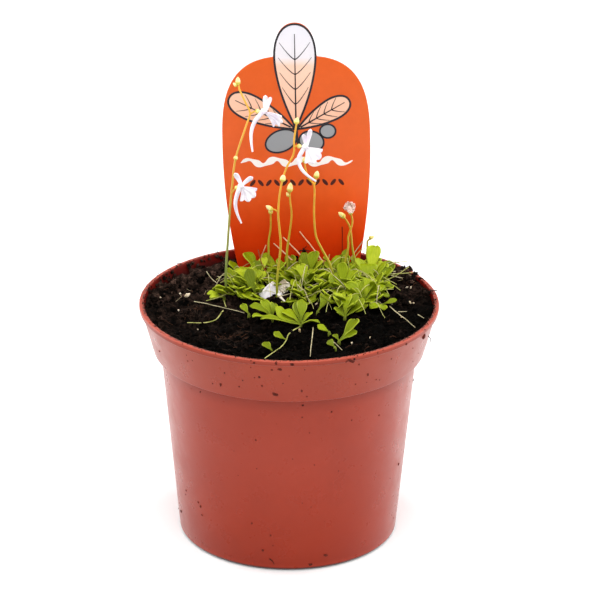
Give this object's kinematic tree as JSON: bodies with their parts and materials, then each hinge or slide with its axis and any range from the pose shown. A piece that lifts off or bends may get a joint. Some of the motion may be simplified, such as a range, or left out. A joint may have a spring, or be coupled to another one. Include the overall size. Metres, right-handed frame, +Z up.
{
  "type": "potted bladderwort",
  "caption": "Small bladderwort in flower in a round terracotta-coloured plastic nursery pot, with peat, spoon-shaped leaves, thin stems, white blooms and an orange plant label.",
  "frame": {"origin": "centre of the pot's foot ring, on the surface that it stands on", "axes": "+Z up along the pot's axis, the pot's front and the label's printed side face -Y, +X to the right seen from the front"},
  "size_m": [0.09, 0.09, 0.151],
  "materials": {
    "pot_plastic": "satin terracotta-red thermoformed plastic",
    "peat": "moist crumbly black-brown peat",
    "label_plastic": "glossy printed orange plastic card",
    "stem_green": "smooth yellow-green flower stalk",
    "dry_straw": "dry pale straw",
    "petal_white": "thin matt white petal with a faint lilac cast",
    "petal_faded": "shrunken pinkish petal",
    "leaf_green": "soft satin yellow-green leaf"
  },
  "bodies": {
    "root": {"pot": "pot_plastic", "soil": "peat", "label": "label_plastic", "stem_left": "stem_green", "stem_middle": "stem_green", "stem_back_middle": "stem_green", "stem_right": "stem_green", "stem_far_right": "stem_green", "stem_withered": "stem_green", "stem_far_left": "stem_green", "stem_sprout": "stem_green", "runner_left": "stem_green", "dry_stalk_a": "dry_straw", "dry_stalk_b": "dry_straw", "dry_stalk_c": "dry_straw", "straw_front": "dry_straw", "straw_right": "dry_straw", "straw_back_right": "dry_straw", "straw_left": "dry_straw", "straw_left_back": "dry_straw", "bloom_left_high": "petal_white", "bloom_left_low": "petal_white", "bloom_right": "petal_white", "bloom_fallen": "petal_white", "bloom_withered": "petal_faded", "tuft_front": "leaf_green", "tuft_front_left": "leaf_green", "tuft_small_right": "leaf_green", "tuft_sprig": "leaf_green", "tuft_right_front": "leaf_green", "tuft_right_middle": "leaf_green", "tuft_right_back": "leaf_green", "tuft_right_inner": "leaf_green", "tuft_back_right": "leaf_green", "tuft_back": "leaf_green", "tuft_middle": "leaf_green", "tuft_back_left": "leaf_green", "tuft_left": "leaf_green", "tuft_small_left": "leaf_green", "tuft_lying": "leaf_green", "tuft_spoon": "leaf_green", "tuft_lone_left": "leaf_green", "tuft_lone_middle": "leaf_green", "tuft_lone_front": "leaf_green"}
  },
  "joints": []
}
